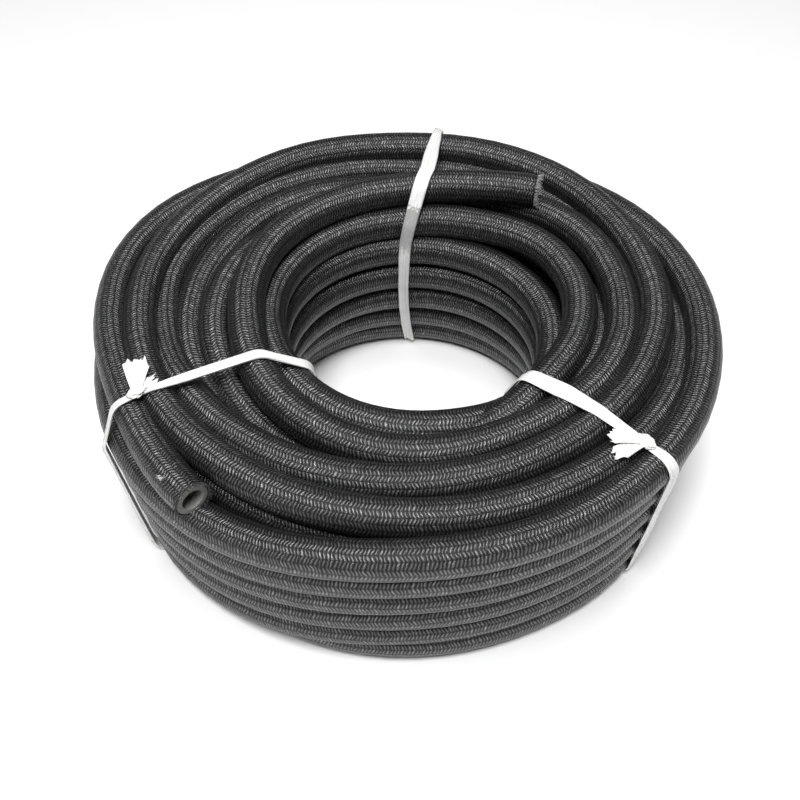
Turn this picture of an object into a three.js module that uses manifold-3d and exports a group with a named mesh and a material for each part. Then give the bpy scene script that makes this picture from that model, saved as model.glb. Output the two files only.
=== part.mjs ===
// A coil of braid-covered fuel hose, held by three knotted film ties.
// Millimetres, +Z up. The origin is on the floor, under the middle of the whole part.

import * as THREE from "three";
import { mergeVertices } from "three/addons/utils/BufferGeometryUtils.js";
import Module from "manifold-3d";

// The hose
const HOSE_OD = 13.5;
const TUBE_OD = 11.8;
const BORE = 7.5;
const TUBE_GAP = 0.3;
const TUBE_PROUD = 0.6;
const OVERRUN = 4;
const END_DEPTH = 20;

// The wound ring, measured at the turns' centre lines
const ROWS = 6;
const ROW_SQUEEZE = 0.2;
const INNER_R = 54.4;
const INNER_FLARE = 0.95;
const WAIST_ROW = 3.4;
const OUTER_R = 111.5;
const OUTER_LEAN = 2.1;
const CROWN = 3.2;
const HOLE_OFFSET = 5;
const TOP_TURNS = 5;
const BASE_TURNS = 4;

// Where the wound coil bulges outwards, by how much and how widely. A low one is full at the floor, none on top.
const BULGES = [
  { azimuth: 138, out: 6.5, spread: 30, low: false },
  { azimuth: 5, out: 1.4, spread: 25, low: false },
  { azimuth: 217, out: 6.5, spread: 14, low: true },
  { azimuth: 323, out: 5.8, spread: 14, low: true },
];

// The outer end: azimuths where its turn leaves the wall, is up on top, and is cut off
const OUTER_LEAVES = -124;
const OUTER_IS_UP = -92;
const OUTER_CUT = 232;

// The inner end: azimuths where its turn leaves the top row, lies on the groove, starts across and is cut off
const INNER_LEAVES = 262;
const INNER_IS_UP = 214;
const INNER_CROSSES = 95;
const INNER_CUT = 48.5;
const INNER_GROOVE = 0.5;
const INNER_LAST_GROOVE = 1.5;

// The film ties
const TIE_WIDTH = 7;
const TIE_THICKNESS = 0.5;
const TIE_GAP = 0.3;
const KNOT_LENGTH = 12;
const KNOT_HEIGHT = 5;
const TAIL_LENGTH = 17;
const TAIL_THICKNESS = 0.8;
const TAIL_RISE = 14;
const CORE_WIDTH = 44;

// How finely round things are cut
const RING_STEPS = 40;
const RIDGE_STEPS = 4;
const TUBE_SIDES = 12;
const STEP_LENGTH = 18;
const END_STEP = 4;
const HULL_STEPS = 24;
const SOLDER = 0.15;

const BASE_Z = TIE_THICKNESS + TIE_GAP;
const TURN_R = HOSE_OD / 2;
const ROW_PITCH = HOSE_OD - ROW_SQUEEZE;
const TOP_ROW = ROWS - 1;
const OUTER_COLUMN = TOP_TURNS - 1;
const DEG = Math.PI / 180;

const TIES = [
  { name: "film_tie_left", innerAzimuth: 215.6, outerAzimuth: 208, knotColumn: 3.6, tails: [95, 150] },
  { name: "film_tie_right", innerAzimuth: -43.4, outerAzimuth: -43, knotColumn: 3.7, tails: [165, 195] },
  { name: "film_tie_back", innerAzimuth: 96, outerAzimuth: 81.5, knotColumn: 3.8, tails: [-75, -110] },
];

const wasm = await Module();
wasm.setup();

const coverFinish = new THREE.MeshStandardMaterial({ color: 0x2b2b2c, roughness: 0.8, metalness: 0 });
const rubberFinish = new THREE.MeshStandardMaterial({ color: 0x707274, roughness: 0.6, metalness: 0 });
const filmFinish = new THREE.MeshStandardMaterial({ color: 0xf2f0ee, roughness: 0.45, metalness: 0 });

const { lerp, smoothstep, clamp, euclideanModulo } = THREE.MathUtils;

// Where the turns' centre lines run

function rowZ(row) {
  return BASE_Z + TURN_R + row * ROW_PITCH;
}

function innerR(row) {
  return INNER_R + INNER_FLARE * (row - WAIST_ROW) ** 2;
}

function outerR(row) {
  return OUTER_R - OUTER_LEAN * (TOP_ROW - row);
}

function topTurn(column) {
  const across = column / OUTER_COLUMN;
  return {
    r: lerp(innerR(TOP_ROW), outerR(TOP_ROW), across),
    z: rowZ(TOP_ROW) + CROWN * (1 - (2 * across - 1) ** 2),
  };
}

function baseTurn(column) {
  return { r: lerp(innerR(0), outerR(0), column / (BASE_TURNS - 1)), z: rowZ(0) };
}

// The hole sits to one side: the innermost turn shifts by the whole offset and the outermost by none
const SHIFT_SLOPE = HOLE_OFFSET / (OUTER_R - INNER_R);

function wrap(azimuth) {
  return euclideanModulo(azimuth, 360);
}

function bulge(azimuth, z) {
  let out = 0;
  for (const corner of BULGES) {
    const away = (wrap(azimuth - corner.azimuth + 180) - 180) / corner.spread;
    const share = corner.low ? Math.max(0, 1 - z / rowZ(TOP_ROW)) : 1;
    out += corner.out * share * Math.exp(-away * away);
  }
  return out;
}

// A point of the coil by its azimuth, its radius in the plain round ring, and its height
function place(azimuth, r, z) {
  const a = azimuth * DEG;
  const outer = Math.max(0, (r - INNER_R) / (OUTER_R - INNER_R));
  const bulged = r + bulge(azimuth, z) * outer;
  return new THREE.Vector3(bulged * Math.cos(a) + SHIFT_SLOPE * (OUTER_R - r), bulged * Math.sin(a), z);
}

// Height at which a hose rests on the turns of the top row
function restingZ(r) {
  let z = 0;
  for (let column = 0; column < TOP_TURNS; column++) {
    const turn = topTurn(column);
    const beside = Math.abs(r - turn.r);
    if (beside < HOSE_OD) z = Math.max(z, turn.z + Math.sqrt(HOSE_OD ** 2 - beside ** 2));
  }
  return z - SOLDER;
}

// The last turn of the wall climbs onto the top row, runs once round and is cut off above its own start
function outerEndAt(azimuth) {
  const up = smoothstep(azimuth, OUTER_LEAVES, OUTER_IS_UP);
  const turn = topTurn(OUTER_COLUMN);
  return { r: lerp(outerR(TOP_ROW - 1), turn.r, up), z: lerp(rowZ(TOP_ROW - 1), turn.z, up) };
}

// The hose's other end climbs out of the top row, lies in a groove and crosses to the next one
function innerEndAt(azimuth) {
  const start = topTurn(1);
  const up = 1 - smoothstep(azimuth, INNER_IS_UP, INNER_LEAVES);
  const across = clamp((INNER_CROSSES - azimuth) / (INNER_CROSSES - INNER_CUT), 0, 1) ** 2;
  const r = topTurn(lerp(INNER_GROOVE, INNER_LAST_GROOVE, across)).r;
  return { r: lerp(start.r, r, up), z: lerp(start.z, restingZ(r), up) };
}

// Solids

function toManifold(geometry) {
  const bare = geometry.index ? geometry.toNonIndexed() : geometry.clone();
  for (const name of Object.keys(bare.attributes)) {
    if (name !== "position") bare.deleteAttribute(name);
  }
  const merged = mergeVertices(bare, 1e-4);
  return new wasm.Manifold(new wasm.Mesh({
    numProp: 3,
    vertProperties: new Float32Array(merged.attributes.position.array),
    triVerts: new Uint32Array(merged.index.array),
  }));
}

function toMesh(solid, name, finish) {
  const { vertProperties, triVerts } = solid.getMesh();
  const geometry = new THREE.BufferGeometry();
  geometry.setAttribute("position", new THREE.BufferAttribute(vertProperties, 3));
  geometry.setIndex(new THREE.BufferAttribute(triVerts, 1));
  geometry.computeVertexNormals();
  const mesh = new THREE.Mesh(geometry, finish);
  mesh.name = name;
  return mesh;
}

// The centre line of a free end, from where it leaves the ring to a little past its cut
function endLine({ route, leaves, cut }) {
  const count = Math.ceil(Math.abs(cut - leaves) / 4);
  const points = [];
  for (let i = 0; i <= count; i++) {
    const azimuth = lerp(leaves, cut, i / count);
    const { r, z } = route(azimuth);
    points.push(place(azimuth, r, z));
  }
  const onward = points.at(-1).clone().sub(points.at(-2)).setLength(OVERRUN);
  points.push(points.at(-1).clone().add(onward));
  return new THREE.CatmullRomCurve3(points, false, "centripetal");
}

// A round rod on that line, between two distances back from the cut. A distance below zero is past the cut.
function rodAlong(line, from, to, radius, step) {
  const length = line.getLength();
  const count = Math.ceil((from - to) / step);
  const points = [];
  for (let i = 0; i <= count; i++) {
    points.push(line.getPointAt(clamp((length - OVERRUN - lerp(from, to, i / count)) / length, 0, 1)));
  }
  const section = new THREE.Shape().absarc(0, 0, radius, 0, 2 * Math.PI, false);
  return toManifold(new THREE.ExtrudeGeometry(section, {
    steps: count,
    curveSegments: TUBE_SIDES,
    extrudePath: new THREE.CatmullRomCurve3(points, false, "centripetal"),
  }));
}

// The ring's section: the turns that show, in order round it. The outer end's turn is a rod of its own.
function ringTurns() {
  const turns = [];
  for (let row = 0; row < TOP_ROW; row++) turns.push({ r: innerR(row), z: rowZ(row) });
  for (let column = 0; column < OUTER_COLUMN; column++) turns.push(topTurn(column));
  for (let row = TOP_ROW - 1; row >= 0; row--) turns.push({ r: outerR(row), z: rowZ(row) });
  for (let column = BASE_TURNS - 2; column > 0; column--) turns.push(baseTurn(column));
  return turns.reverse();
}

// One arc on the outside of each turn, from the groove before it to the groove after it
function ringOutline() {
  const turns = ringTurns();
  const points = [];
  turns.forEach((turn, i) => {
    const before = turns[(i + turns.length - 1) % turns.length];
    const after = turns[(i + 1) % turns.length];
    const start = Math.atan2(before.z - turn.z, before.r - turn.r);
    const end = Math.atan2(after.z - turn.z, after.r - turn.r);
    const sweep = (end - start + 4 * Math.PI) % (2 * Math.PI);
    for (let step = 0.5; step < RIDGE_STEPS; step++) {
      const angle = start + (sweep * step) / RIDGE_STEPS;
      points.push(new THREE.Vector2(turn.r + TURN_R * Math.cos(angle), turn.z + TURN_R * Math.sin(angle)));
    }
    points.push(new THREE.Vector2((turn.r + after.r) / 2, (turn.z + after.z) / 2));
  });
  points.push(points[0].clone());
  return points;
}

function ring() {
  const geometry = new THREE.LatheGeometry(ringOutline(), RING_STEPS);
  geometry.rotateX(Math.PI / 2);
  const position = geometry.attributes.position;
  for (let i = 0; i < position.count; i++) {
    const [x, y] = [position.getX(i), position.getY(i)];
    const placed = place(Math.atan2(y, x) / DEG, Math.hypot(x, y), position.getZ(i));
    position.setXYZ(i, placed.x, placed.y, placed.z);
  }
  return toManifold(geometry);
}

const ENDS = [
  { name: "rubber_tube_outer_end", route: outerEndAt, leaves: OUTER_LEAVES, cut: OUTER_CUT },
  { name: "rubber_tube_inner_end", route: innerEndAt, leaves: INNER_LEAVES, cut: INNER_CUT },
];

// The braid-covered hose: the wound ring with both free ends, each with the seat of its rubber tube
function hose() {
  const lines = ENDS.map(endLine);
  let solid = ring();
  for (const line of lines) solid = solid.add(rodAlong(line, line.getLength() - OVERRUN, 0, TURN_R, STEP_LENGTH));
  for (const line of lines) {
    solid = solid.subtract(rodAlong(line, END_DEPTH + TUBE_GAP, -OVERRUN, TUBE_OD / 2 + TUBE_GAP, END_STEP));
  }
  return solid;
}

function rubberTube(end) {
  const line = endLine(end);
  const tube = rodAlong(line, END_DEPTH, -TUBE_PROUD, TUBE_OD / 2, END_STEP);
  return tube.subtract(rodAlong(line, END_DEPTH + 2, -OVERRUN, BORE / 2, END_STEP));
}

// The ties

// The points of the tight outline round a set of points, anticlockwise
function hull(points) {
  const sorted = [...points].sort((a, b) => a.x - b.x || a.y - b.y);
  const turnsLeft = (a, b, c) => (b.x - a.x) * (c.y - a.y) - (b.y - a.y) * (c.x - a.x) > 1e-9;
  const chain = (list) => {
    const kept = [];
    for (const point of list) {
      while (kept.length > 1 && !turnsLeft(kept.at(-2), kept.at(-1), point)) kept.pop();
      kept.push(point);
    }
    return kept.slice(0, -1);
  };
  return [...chain(sorted), ...chain(sorted.reverse())];
}

function tieAzimuth(tie, r) {
  return lerp(tie.innerAzimuth, tie.outerAzimuth, (r - INNER_R) / (OUTER_R - INNER_R));
}

// The hoses that a tie goes round. A free end's section is as wide in r as the shift there makes it.
function hosesUnder(tie) {
  const hoses = ringTurns().map((turn) => ({ ...turn, radius: TURN_R }));
  const add = (route, azimuth) => {
    const spread = 1 / (1 - SHIFT_SLOPE * Math.cos(azimuth * DEG));
    hoses.push({ ...route(azimuth), radius: TURN_R * Math.max(1, spread) });
  };
  const outer = wrap(tieAzimuth(tie, OUTER_R));
  add(outerEndAt, outer > OUTER_CUT ? outer - 360 : outer);
  const inner = wrap(tieAzimuth(tie, topTurn(INNER_GROOVE).r));
  if (inner > INNER_CUT && inner < INNER_LEAVES) add(innerEndAt, inner);
  return hoses;
}

function bandOutline(tie, clear) {
  const points = [];
  for (const { r, z, radius } of hosesUnder(tie)) {
    for (let i = 0; i < HULL_STEPS; i++) {
      const angle = (2 * Math.PI * i) / HULL_STEPS;
      points.push(new THREE.Vector2(
        r + (radius + clear) * Math.cos(angle),
        z + (TURN_R + clear) * Math.sin(angle),
      ));
    }
  }
  return hull(points);
}

// The turns of the ring under a tie with whatever lies on them, as one tight solid, grown by a clearance
function bundle(tie, clear, width) {
  const outline = new THREE.Shape(bandOutline(tie, clear));
  const geometry = new THREE.ExtrudeGeometry(outline, { depth: width, steps: 4, bevelEnabled: false });
  const position = geometry.attributes.position;
  for (let i = 0; i < position.count; i++) {
    const r = position.getX(i);
    const side = (width / 2 - position.getZ(i)) / r / DEG;
    const { x, y, z } = place(tieAzimuth(tie, r) + side, r, position.getY(i));
    position.setXYZ(i, x, y, z);
  }
  return toManifold(geometry);
}

function knotCentre(tie) {
  const outline = bandOutline(tie, TIE_GAP + TIE_THICKNESS);
  const { r } = topTurn(tie.knotColumn);
  return place(tieAzimuth(tie, r), r, topOf(outline, r));
}

// Height of an outline's upper edge at a radius
function topOf(outline, r) {
  let top = 0;
  outline.forEach((b, i) => {
    const a = outline.at(i - 1);
    const along = (r - a.x) / (b.x - a.x);
    if (along >= 0 && along <= 1) top = Math.max(top, lerp(a.y, b.y, along));
  });
  return top;
}

function knot(tie) {
  const centre = knotCentre(tie);
  const ball = new THREE.SphereGeometry(0.5, 10, 6);
  ball.scale(KNOT_LENGTH, TIE_WIDTH * 1.1, KNOT_HEIGHT);
  ball.rotateZ(tieAzimuth(tie, OUTER_R) * DEG);
  ball.translate(centre.x, centre.y, centre.z);
  return toManifold(ball);
}

// A free tail of the knot: a flat strip that leaves it at an angle to the band and rises a little
function tail(tie, turn) {
  const centre = knotCentre(tie);
  const strip = new THREE.BoxGeometry(TAIL_LENGTH, TIE_WIDTH, TAIL_THICKNESS);
  strip.translate(TAIL_LENGTH / 2, 0, TAIL_THICKNESS / 2);
  strip.rotateY(-TAIL_RISE * DEG);
  strip.rotateZ((tieAzimuth(tie, OUTER_R) + turn) * DEG);
  strip.translate(centre.x, centre.y, centre.z);
  return toManifold(strip);
}

function filmTie(tie) {
  let solid = bundle(tie, TIE_GAP + TIE_THICKNESS, TIE_WIDTH).add(knot(tie));
  for (const turn of tie.tails) solid = solid.add(tail(tie, turn));
  return solid.subtract(bundle(tie, TIE_GAP, CORE_WIDTH));
}

const group = new THREE.Group();
group.add(toMesh(hose(), "hose_coil", coverFinish));
for (const end of ENDS) group.add(toMesh(rubberTube(end), end.name, rubberFinish));
for (const tie of TIES) group.add(toMesh(filmTie(tie), tie.name, filmFinish));


// The origin goes under the middle of the whole part's box
const box = new THREE.Box3().setFromObject(group);
const middle = box.getCenter(new THREE.Vector3());
for (const mesh of group.children) mesh.geometry.translate(-middle.x, -middle.y, -box.min.z);

export default group;
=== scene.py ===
"""Looks for a tied coil of braid-covered fuel hose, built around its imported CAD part.

Lengths in this file are in millimetres unless a name or a note says otherwise. A mesh is
made in metres, in the frame of the CAD part: the floor is z = 0 and the photograph's camera
looks from -Y. Radii and heights in the strands below are in hose widths.
"""

from __future__ import annotations

import logging
import math
from dataclasses import dataclass, field, replace
from enum import Enum

import bmesh
import bpy
import numpy as np
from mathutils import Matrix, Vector

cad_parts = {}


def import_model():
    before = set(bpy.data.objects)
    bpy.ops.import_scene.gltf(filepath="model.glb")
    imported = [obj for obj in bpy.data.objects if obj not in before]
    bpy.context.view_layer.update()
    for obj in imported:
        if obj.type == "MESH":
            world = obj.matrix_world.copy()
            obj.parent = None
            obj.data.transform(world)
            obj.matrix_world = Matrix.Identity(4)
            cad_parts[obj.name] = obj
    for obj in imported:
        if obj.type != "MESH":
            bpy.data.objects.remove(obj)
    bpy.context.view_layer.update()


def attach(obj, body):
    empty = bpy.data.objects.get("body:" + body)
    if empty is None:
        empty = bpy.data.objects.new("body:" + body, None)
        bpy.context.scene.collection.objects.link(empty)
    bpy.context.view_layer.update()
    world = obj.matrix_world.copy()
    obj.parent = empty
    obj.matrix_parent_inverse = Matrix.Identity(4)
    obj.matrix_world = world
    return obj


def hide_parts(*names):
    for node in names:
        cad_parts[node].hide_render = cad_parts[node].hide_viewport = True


LOG = logging.getLogger("fuel_hose")
MM = 0.001
WHOLE_TURN = 360.0
DEGREES_A_KNOT = 15
OUTLINE_STEPS = 240

Knot = tuple[float, float, float]
Value = "bpy.types.NodeSocket | float"


class Slot(Enum):
    """Names for the material slots."""

    COVER = "braid_cover"
    RUBBER = "tube_rubber"
    FILM = "tie_film"


@dataclass(frozen=True)
class HoseSize:
    """The sizes of the hose's section.

    Attributes:
        outside: Width over the braid.
        tube: Width of the rubber tube inside it.
        bore: Width of the tube's bore.
    """

    outside: float = 13.5
    tube: float = 11.8
    bore: float = 7.5


# The strands that show on top, each as azimuth, radius and height along the way the hose runs.
INNER_END: tuple[Knot, ...] = (
    (48, 6.30, 6.20), (57, 5.80, 6.20), (66, 5.35, 6.20), (78, 5.00, 6.20), (89, 4.74, 6.20),
    (115, 4.43, 6.20), (138, 4.30, 6.20), (174, 4.17, 6.20), (196, 4.25, 6.15), (206, 4.43, 6.05),
    (225, 4.72, 5.85), (250, 5.05, 5.62), (270, 5.27, 5.51), (305, 5.40, 5.50), (327, 5.88, 5.60),
    (344, 6.12, 5.60), (355, 6.19, 5.60), (13, 6.31, 5.60), (28, 6.45, 5.60), (40, 6.46, 5.50),
    (54, 6.40, 5.30), (75, 6.30, 5.00), (95, 6.30, 5.00), (114, 6.30, 5.30), (128, 6.16, 5.40),
    (152, 5.97, 5.35), (182, 5.85, 5.28), (205, 5.84, 5.15), (220, 5.80, 4.85), (240, 5.60, 4.45),
)
UNDER_INNER_END: tuple[Knot, ...] = (
    (270, 5.30, 4.40), (300, 5.20, 4.40), (325, 5.25, 4.60), (338, 5.39, 5.02), (349, 5.54, 5.05),
    (357, 5.63, 5.03), (6, 5.72, 4.90), (25, 5.75, 4.45), (60, 5.45, 4.40), (95, 5.20, 4.45),
    (130, 5.25, 4.90), (146, 5.20, 5.35), (158, 5.07, 5.58), (174, 5.08, 5.60), (186, 5.12, 5.60),
    (200, 5.18, 5.50), (212, 5.20, 5.15), (228, 5.15, 4.60), (262, 5.00, 4.55),
)
INNERMOST: tuple[Knot, ...] = (
    (296, 4.62, 5.05), (326, 4.68, 5.48), (335, 4.81, 5.50), (344, 4.93, 5.50), (356, 5.02, 5.50),
    (15, 5.20, 5.50), (36, 5.14, 5.50), (58, 4.69, 5.40), (89, 4.26, 5.35), (112, 4.09, 5.35),
    (138, 3.90, 5.35), (164, 3.75, 5.35), (191, 3.68, 5.35), (215, 3.78, 5.35), (234, 3.93, 5.35),
    (270, 4.28, 5.35), (290, 4.33, 5.20), (312, 4.38, 4.80),
)
MIDDLE: tuple[Knot, ...] = (
    (345, 6.60, 4.45), (13, 6.98, 4.85), (32, 7.37, 4.90), (47, 7.65, 4.90), (90, 7.61, 5.00),
    (116, 7.44, 5.10), (131, 7.30, 5.18), (150, 7.09, 5.20), (166, 6.94, 5.20), (181, 6.56, 5.20),
    (200, 6.40, 5.35), (210, 6.29, 5.48), (235, 6.22, 5.60), (270, 6.26, 5.63), (305, 6.40, 5.62),
    (328, 6.70, 5.60), (346, 6.93, 5.60), (356, 7.14, 5.60), (17, 7.37, 5.60), (36, 7.69, 5.60),
    (50, 7.97, 5.60), (71, 8.10, 5.60), (90, 7.92, 5.60), (114, 8.02, 5.60), (128, 7.79, 5.60),
    (145, 7.58, 5.60), (164, 7.43, 5.60), (186, 7.17, 5.60), (210, 7.08, 5.60), (234, 7.06, 5.60),
    (270, 7.26, 5.61), (308, 7.42, 5.45), (323, 7.58, 5.30), (333, 7.62, 5.15), (346, 7.73, 5.00),
    (1, 7.90, 4.90), (15, 7.85, 4.70), (40, 7.50, 4.45),
)
OUTER_END: tuple[Knot, ...] = (
    (268, 8.24, 5.41), (309, 8.30, 5.41), (320, 8.32, 5.41), (339, 8.35, 5.40), (350, 8.38, 5.40),
    (358, 8.42, 5.40), (8, 8.45, 5.40), (20, 8.45, 5.38), (37, 8.42, 5.25), (60, 8.35, 4.95),
    (90, 8.30, 4.72), (114, 8.55, 4.80), (138, 8.74, 5.05), (151, 8.65, 5.25), (166, 8.40, 5.38),
    (182, 8.05, 5.40), (203, 7.72, 5.40), (214, 7.80, 5.40), (225, 8.03, 5.40), (233, 8.20, 5.40),
)


@dataclass(frozen=True)
class Bulge:
    """A place where the wound coil bulges outwards.

    Attributes:
        azimuth: Its middle, in degrees.
        out: How far out, in hose widths.
        spread: Half its width, in degrees.
        low: Whether it is full at the floor and none on top.
    """

    azimuth: float
    out: float
    spread: float
    low: bool = False


@dataclass
class Winding:
    """How the hose lies in the coil: its slots, and the one line that runs through them all.

    Slots and strands are in hose widths.
    """

    size: HoseSize = field(default_factory=HoseSize)
    base: float = 0.8
    pitch: float = 13.3 / 13.5
    inner: float = 54.4 / 13.5
    inner_flare: float = 0.95 / 13.5
    waist_row: float = 3.4
    outer: float = 111.5 / 13.5
    outer_lean: float = 2.1 / 13.5
    top_row: int = 5
    turns_in_row: tuple[int, ...] = (4, 4, 4, 5, 5)
    hole_offset: float = 5.0 / 13.5
    bulges: tuple[Bulge, ...] = (
        Bulge(138, 6.5 / 13.5, 30),
        Bulge(5, 1.4 / 13.5, 25),
        Bulge(217, 6.5 / 13.5, 14, low=True),
        Bulge(323, 5.8 / 13.5, 14, low=True),
    )
    degrees_a_step: float = 5.0
    smooth_reach: int = 24
    smooth_spread: float = 7.0

    def row_height(self, row: float) -> float:
        """Height of a row's centre lines."""
        return self.base / self.size.outside + 0.5 + row * self.pitch

    def inner_radius(self, row: float) -> float:
        """Radius of the innermost turn of a row."""
        return self.inner + self.inner_flare * (row - self.waist_row) ** 2

    def outer_radius(self, row: float) -> float:
        """Radius of the outermost turn of a row."""
        return self.outer - self.outer_lean * (self.top_row - row)

    def bulge_at(self, azimuth: float, height: float) -> float:
        """How far the outside bulges at an azimuth and a height."""
        out = 0.0
        for bulge in self.bulges:
            away = ((azimuth - bulge.azimuth + 180) % WHOLE_TURN - 180) / bulge.spread
            share = max(0.0, 1 - height / self.row_height(self.top_row)) if bulge.low else 1.0
            out += bulge.out * share * math.exp(-away * away)
        return out

    def slot_knot(self, row: int, place: int, azimuth: float) -> Knot:
        """Where a slot of the wound ring lies at an azimuth.

        Args:
            row: The row, counted from the floor.
            place: The turn's place in the row, counted from the hole.
            azimuth: In degrees, in the plain round ring.

        Returns:
            Its azimuth, radius and height as they really are, with the hole to one side.
        """
        inner, outer = self.inner_radius(row), self.outer_radius(row)
        share = place / (self.turns_in_row[row] - 1)
        radius = inner + (outer - inner) * share
        height = self.row_height(row)
        reach = max(0.0, (radius - self.inner) / (self.outer - self.inner))
        bulged = radius + self.bulge_at(azimuth, height) * reach
        angle = math.radians(azimuth)
        slope = self.hole_offset / (self.outer - self.inner)
        x = bulged * math.cos(angle) + slope * (self.outer - radius)
        y = bulged * math.sin(angle)
        return math.degrees(math.atan2(y, x)) % WHOLE_TURN, math.hypot(x, y), height

    def line(self) -> np.ndarray:
        """The hose's centre line, from its inner cut end to its outer one.

        Returns:
            Points in metres, one row each.
        """
        way = WayRound(self)
        way.strand(INNER_END)
        way.strand(UNDER_INNER_END)
        way.strand(INNERMOST)
        for row in (4, 3, 2, 1, 0):
            way.turn(row, 0, crossing=(285, 330))
        for row in (0, 1, 2, 3):
            way.turn(row, 1, crossing=(150, 195))
        way.turn(4, 2, crossing=(150, 195), until=330)
        way.strand(MIDDLE)
        way.turn(4, 3, crossing=(30, 75), leaving=True)
        for row, place in ((3, 3), (3, 2), (2, 2), (1, 2), (0, 2)):
            way.turn(row, place, crossing=(30, 75))
        for row in (0, 1, 2):
            way.turn(row, 3, crossing=(228, 268))
        for row in (3, 4):
            way.turn(row, 4, crossing=(236, 268))
        way.strand(OUTER_END)
        return way.points()


class WayRound:
    """Gathers the knots of the hose's line, turn after turn, and smooths them into one way."""

    def __init__(self, winding: Winding) -> None:
        """Starts with no knots."""
        self.winding = winding
        self.knots: list[Knot] = []

    def add(self, knot: Knot) -> None:
        """Adds a knot at the next time round that its azimuth comes."""
        azimuth, radius, height = knot
        if self.knots:
            behind = self.knots[-1][0]
            azimuth = behind + max((azimuth - behind) % WHOLE_TURN, 1.0)
        self.knots.append((azimuth, radius, height))

    def strand(self, knots: tuple[Knot, ...]) -> None:
        """Adds the knots of a strand that shows."""
        for knot in knots:
            self.add(knot)

    def turn(
        self,
        row: int,
        place: int,
        crossing: tuple[float, float],
        leaving: bool = False,
        until: float | None = None,
    ) -> None:
        """Adds one turn in a slot, from the end of a crossing round to its start.

        Args:
            row: The row, counted from the floor.
            place: The turn's place in the row, counted from the hole.
            crossing: The azimuths between which the turns change slots.
            leaving: Whether the way is already past the crossing, so the turn starts later.
            until: Where the turn ends, if not at the crossing.
        """
        start = crossing[1] + (DEGREES_A_KNOT if leaving else 0)
        end = crossing[0] if until is None else until
        span = (end - start) % WHOLE_TURN
        count = max(2, round(span / DEGREES_A_KNOT))
        for i in range(count + 1):
            self.add(self.winding.slot_knot(row, place, start + span * i / count))

    def points(self) -> np.ndarray:
        """Smooths the knots and steps along them.

        Returns:
            Points in metres, one row each.
        """
        knots = np.array(self.knots)
        first, last = knots[0, 0], knots[-1, 0]
        fine = np.arange(first, last + 0.5, 1.0)
        reach, spread = self.winding.smooth_reach, self.winding.smooth_spread
        weights = np.exp(-0.5 * (np.arange(-reach, reach + 1) / spread) ** 2)
        weights /= weights.sum()
        smooth = []
        for column in (1, 2):
            values = np.interp(fine, knots[:, 0], knots[:, column])
            before = 2 * values[0] - values[reach:0:-1]
            after = 2 * values[-1] - values[-2:-reach - 2:-1]
            padded = np.concatenate([before, values, after])
            smooth.append(np.convolve(padded, weights, "valid"))
        steps = np.linspace(first, last, int((last - first) / self.winding.degrees_a_step) + 1)
        radius = np.interp(steps, fine, smooth[0]) * self.winding.size.outside * MM
        height = np.interp(steps, fine, smooth[1]) * self.winding.size.outside * MM
        angle = np.radians(steps)
        return np.stack([radius * np.cos(angle), radius * np.sin(angle), height], axis=1)


@dataclass
class MeshSheet:
    """A grid of points that becomes a mesh, with its place on the sheet as UVs.

    Attributes:
        points: Rows of points in metres, as an array of rows, columns and three numbers.
        along: The U value of each row.
        across: The V value of each column.
        closed: Whether the last column joins the first.
    """

    points: np.ndarray
    along: np.ndarray
    across: np.ndarray
    closed: bool = True

    def make(self, name: str) -> bpy.types.Object:
        """Makes the mesh object.

        Args:
            name: The piece's name.

        Returns:
            The new object, smooth shaded and in the scene.
        """
        rows, columns = self.points.shape[:2]
        wide = columns if self.closed else columns - 1
        i, j = np.meshgrid(np.arange(rows - 1), np.arange(wide), indexing="ij")
        i, j = i.ravel(), j.ravel()
        k = (j + 1) % columns
        here, there = i * columns, (i + 1) * columns
        faces = np.stack([here + j, here + k, there + k, there + j], axis=1)
        mesh = bpy.data.meshes.new(name)
        mesh.from_pydata(self.points.reshape(-1, 3).tolist(), [], faces.tolist())
        edges = self.across if not self.closed else np.append(self.across, 1.0)
        u = np.stack([self.along[i], self.along[i], self.along[i + 1], self.along[i + 1]], axis=1)
        v = np.stack([edges[j], edges[j + 1], edges[j + 1], edges[j]], axis=1)
        layer = mesh.uv_layers.new(name="sheet")
        layer.data.foreach_set("uv", np.stack([u, v], axis=2).astype(np.float32).ravel())
        mesh.shade_smooth()
        mesh.update()
        obj = bpy.data.objects.new(name, mesh)
        bpy.context.scene.collection.objects.link(obj)
        return obj


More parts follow.
